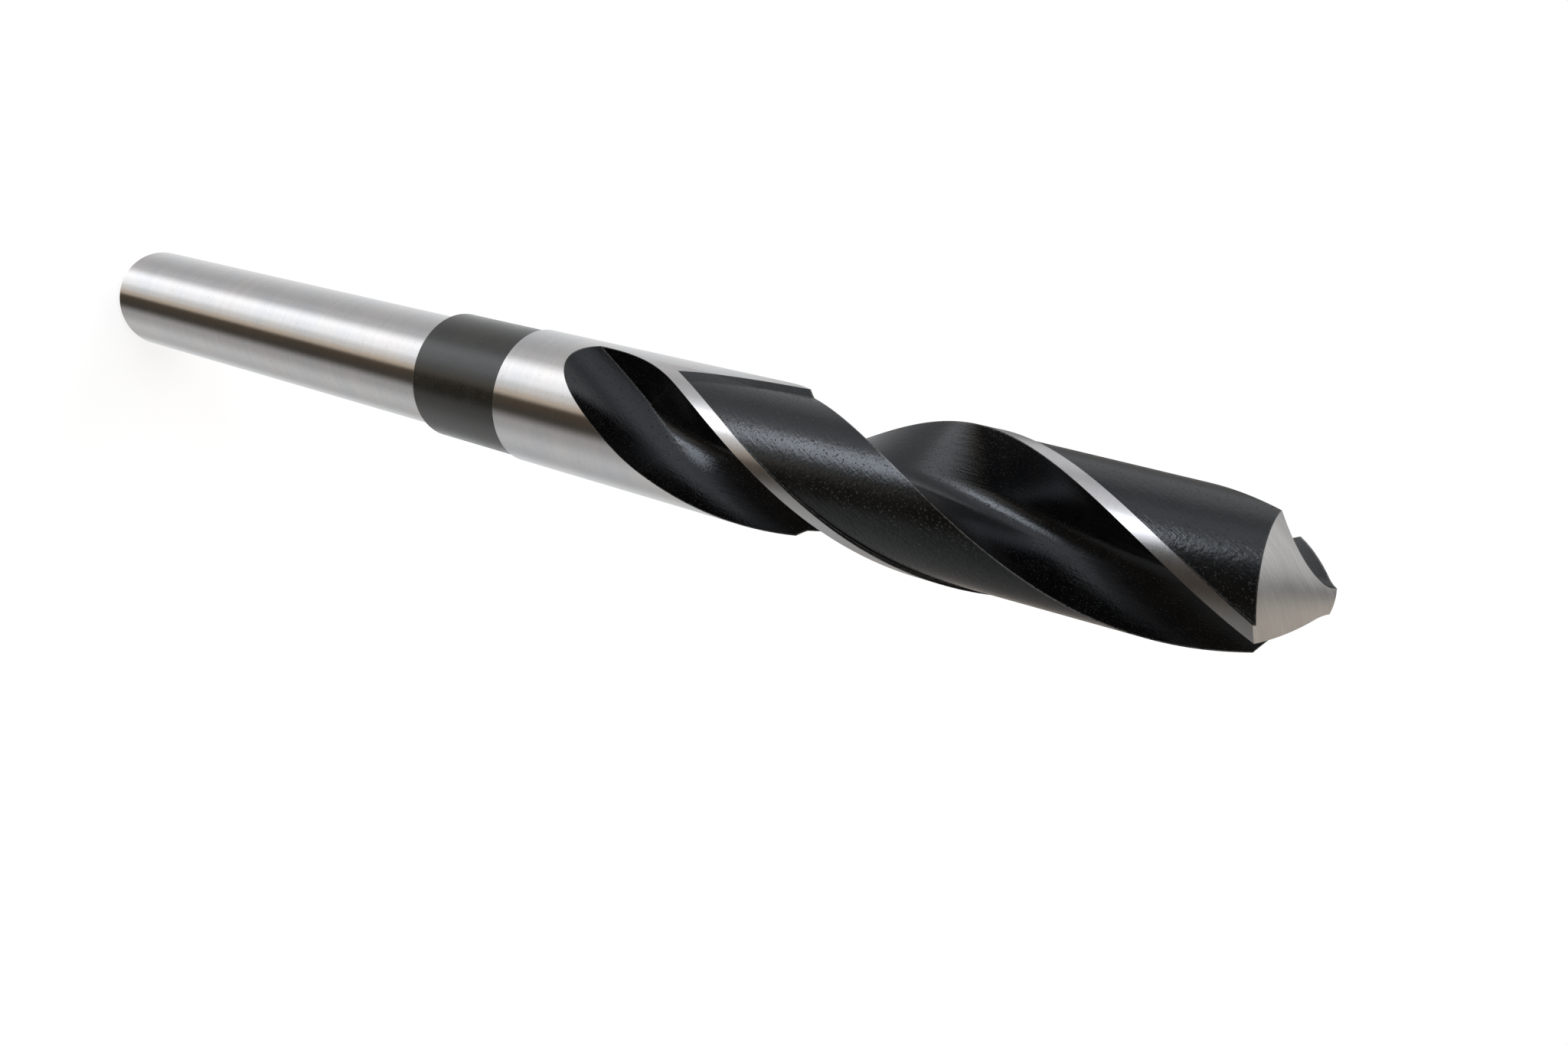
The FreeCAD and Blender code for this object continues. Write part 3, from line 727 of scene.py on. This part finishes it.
def black_oxide(name, black, brown, mirror, roughness, grain, depth, fineness, wear_and_highlight):
    """Steel blackened in a hot bath: dark, satin, a little uneven, with bare steel and a painted
    highlight on its edges and creases.

    Mirror is the index of refraction, which sets how strongly the black surface shines."""
    material, tree, shader, space = new_finish(name, 0.0)
    shader.inputs["IOR"].default_value = mirror
    shader.inputs["Specular Tint"].default_value = (*OXIDE_GLOSS, 1)
    drawn = use_group(tree, "streaks", {"Vector": space["Untwisted"], "Fineness": fineness})
    spots = use_group(tree, "blotches", {"Vector": space["Straight"], "Size": grain})
    edges = use_group(tree, "worn_and_highlit", {"Break-up": spots["Grain"], "Width": EDGE_WIDTH * MM})
    oxide = blended(tree, spots["Clouds"], black, brown)
    # Steel colour on edges and creases: partly bare metal through the oxide, partly a painted
    # highlight.
    rubbed_and_highlit = blended(tree, ranged(tree, edges["Wear and highlight"], 0.0, wear_and_highlight), oxide, BARE_STEEL_HIGHLIGHT)
    rough = summed(
        tree,
        ranged(tree, spots["Clouds"], roughness - CLOUD_ROUGHNESS, roughness + CLOUD_ROUGHNESS),
        ranged(tree, drawn["Lines"], *LINE_ROUGHNESS),
        ranged(tree, drawn["Bands"], -BAND_ROUGHNESS, BAND_ROUGHNESS),
        ranged(tree, spots["Specks"], 0.0, SPECK_ROUGHNESS),
    )
    height = summed(
        tree, spots["Grain"], ranged(tree, drawn["Lines"], 0.0, LINE_HEIGHT),
        ranged(tree, spots["Specks"], 0.0, SPECK_HEIGHT),
    )
    finished(tree, shader, rubbed_and_highlit, rough, height, depth)
    return material


def ground_point():
    """The flanks: a coarser grind, drawn square to the lips."""
    material, tree, shader, space = new_finish("ground_point", 1.0)
    along_lips = put(
        tree, "ShaderNodeVectorRotate",
        {"Vector": space["Straight"], "Angle": -math.radians(LIP_DIRECTION)},
        rotation_type="Z_AXIS",
    ).outputs[0]
    drawn = use_group(tree, "streaks", {"Vector": along_lips, "Fineness": POINT_GRIND})
    spots = use_group(tree, "blotches", {"Vector": space["Straight"], "Size": POINT_GRAIN})
    metal = blended(tree, drawn["Bands"], POINT_DARK, POINT_BRIGHT)
    metal = toned(tree, metal, drawn["Lines"], POINT_LINE, WHITE)
    rough = summed(
        tree, ranged(tree, drawn["Lines"], *POINT_ROUGHNESS),
        ranged(tree, spots["Clouds"], 0.0, POINT_CLOUDING),
    )
    finished(tree, shader, metal, rough, drawn["Lines"], POINT_LINE_DEPTH)
    return material


def aim_camera():
    """The photograph's viewpoint: close by, above the point's end, rolled to lie level."""
    eye = Vector(EYE) * MM
    forward = (Vector(AIM) * MM - eye).normalized()
    turn = forward.to_track_quat("-Z", "Y") @ Quaternion((0, 0, 1), math.radians(ROLL))
    data = bpy.data.cameras.new("photograph")
    data.lens = LENS
    data.sensor_width = SENSOR
    data.clip_start = NEAR * MM
    data.clip_end = FAR * MM
    camera = bpy.data.objects.new("photograph", data)
    camera.rotation_mode = "QUATERNION"
    camera.rotation_quaternion = turn
    camera.location = eye
    bpy.context.scene.collection.objects.link(camera)
    bpy.context.scene.camera = camera


def tent_stripes(tree, around, stops):
    """One part of the tent: soft upright stripes, by where they stand round the drill."""
    node = put(tree, "ShaderNodeValToRGB", {"Fac": around})
    ramp = node.color_ramp
    ramp.interpolation = "EASE"
    ramp.elements.remove(ramp.elements[-1])
    for number, (angle, colour) in enumerate(stops):
        place = angle / 360 + 0.5
        stop = ramp.elements.new(place) if number else ramp.elements[0]
        stop.position = place
        stop.color = (*colour, 1)
    return node.outputs["Color"]


def tent_walls(tree, direction):
    """The tent's brightness in a direction that is measured from the camera's side."""
    axes = put(tree, "ShaderNodeSeparateXYZ", {0: direction}).outputs
    turn = worked_out(tree, "ARCTAN2", axes["Y"], axes["X"])
    around = worked_out(tree, "MULTIPLY_ADD", turn, 1 / (2 * math.pi), 0.5)
    low, high = (math.sin(math.radians(angle)) for angle in TENT_CHANGE)
    upward = stretched(tree, axes["Z"], low, high, interpolation_type="SMOOTHSTEP")
    return blended(
        tree, upward, tent_stripes(tree, around, TENT_LOW), tent_stripes(tree, around, TENT_HIGH)
    )


def lamp_glow(tree, direction):
    """The lamp's light in a direction that is measured from the camera's side."""
    around, up = math.radians(LAMP_AROUND), math.radians(LAMP_UP)
    toward = (math.cos(up) * math.cos(around), math.cos(up) * math.sin(around), math.sin(up))
    facing = put(
        tree, "ShaderNodeVectorMath", {0: direction, 1: toward}, operation="DOT_PRODUCT"
    ).outputs["Value"]
    edge, core = (math.cos(math.radians(angle)) for angle in (LAMP_EDGE, LAMP_CORE))
    glow = stretched(tree, facing, edge, core, interpolation_type="SMOOTHSTEP")
    return put(
        tree, "ShaderNodeVectorMath", {0: LAMP_LIGHT, "Scale": glow}, operation="SCALE"
    ).outputs[0]


def light_tent():
    """A pale tent with a soft lamp, as the bright steel mirrors it, before a white backdrop."""
    world = bpy.data.worlds.new("light_tent")
    bpy.context.scene.world = world
    world.use_nodes = True
    tree = world.node_tree
    tree.nodes.clear()
    from_camera = put(
        tree, "ShaderNodeVectorRotate",
        {
            "Vector": put(tree, "ShaderNodeTexCoord").outputs["Generated"],
            "Angle": -math.atan2(EYE[1], EYE[0]),
        },
        rotation_type="Z_AXIS",
    ).outputs[0]
    light = put(
        tree, "ShaderNodeVectorMath",
        {0: tent_walls(tree, from_camera), 1: lamp_glow(tree, from_camera)}, operation="ADD",
    ).outputs[0]
    lit = put(tree, "ShaderNodeBackground", {"Color": light}).outputs[0]
    backdrop = put(tree, "ShaderNodeBackground", {"Color": (*WHITE, 1)}).outputs[0]
    seen = put(tree, "ShaderNodeLightPath").outputs["Is Camera Ray"]
    mix = put(tree, "ShaderNodeMixShader", {0: seen, 1: lit, 2: backdrop}).outputs[0]
    put(tree, "ShaderNodeOutputWorld", {"Surface": mix})


def floor():
    """The pale floor under the drill, which the steel doesn't mirror."""
    bm = bmesh.new()
    bmesh.ops.create_grid(bm, x_segments=1, y_segments=1, size=FLOOR_SIZE * MM)
    mesh = bpy.data.meshes.new("floor")
    bm.to_mesh(mesh)
    bm.free()
    piece = bpy.data.objects.new("floor", mesh)
    bpy.context.scene.collection.objects.link(piece)
    pale = bpy.data.materials.new("pale_floor")
    pale.use_nodes = True
    shader = pale.node_tree.nodes["Principled BSDF"]
    shader.inputs["Base Color"].default_value = (*FLOOR_COLOUR, 1)
    shader.inputs["Roughness"].default_value = FLOOR_ROUGHNESS
    shader.inputs["Emission Color"].default_value = (*WHITE, 1)
    shader.inputs["Emission Strength"].default_value = FLOOR_GLOW
    mesh.materials.append(pale)
    piece.visible_glossy = False


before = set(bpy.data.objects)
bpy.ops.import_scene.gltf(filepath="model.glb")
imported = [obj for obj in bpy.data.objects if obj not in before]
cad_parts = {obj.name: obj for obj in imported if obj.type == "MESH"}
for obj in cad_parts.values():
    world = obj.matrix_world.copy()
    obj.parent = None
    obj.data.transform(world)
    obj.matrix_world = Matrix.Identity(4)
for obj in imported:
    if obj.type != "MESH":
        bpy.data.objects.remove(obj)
cad_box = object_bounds()
TOP = cad_box[1].z / MM

GROUPS = {
    "space": drill_space(), "streaks": streaks(), "blotches": blotches(), "worn_and_highlit": edges_worn_and_highlit(),
}
FINISHES = [
    ground_steel(),
    black_oxide(
        "oxide_band", black=(0.015, 0.014, 0.01), brown=(0.023, 0.02, 0.013), mirror=1.64,
        roughness=0.21, grain=0.25, depth=0.0015, fineness=(0.4, 0.4, 2.0), wear_and_highlight=0.5,
    ),
    black_oxide(
        "oxide_flute", black=(0.002, 0.002, 0.0025), brown=(0.005, 0.0045, 0.004), mirror=1.58,
        roughness=0.16, grain=0.22, depth=0.006, fineness=(3.0, 3.0, 0.15), wear_and_highlight=0.9,
    ),
    black_oxide(
        "oxide_land", black=(0.003, 0.003, 0.003), brown=(0.006, 0.006, 0.0055), mirror=1.62,
        roughness=0.13, grain=0.32, depth=0.009, fineness=(3.5, 3.5, 0.3), wear_and_highlight=0.5,
    ),
    ground_point(),
]
mesh = drill_mesh(TOP)
sharpened(mesh)
drill = bpy.data.objects.new("drill", mesh)
bpy.context.scene.collection.objects.link(drill)
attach(drill, "root")
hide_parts("twist_drill")

floor()
light_tent()
aim_camera()
bpy.context.scene.view_settings.view_transform = "Standard"
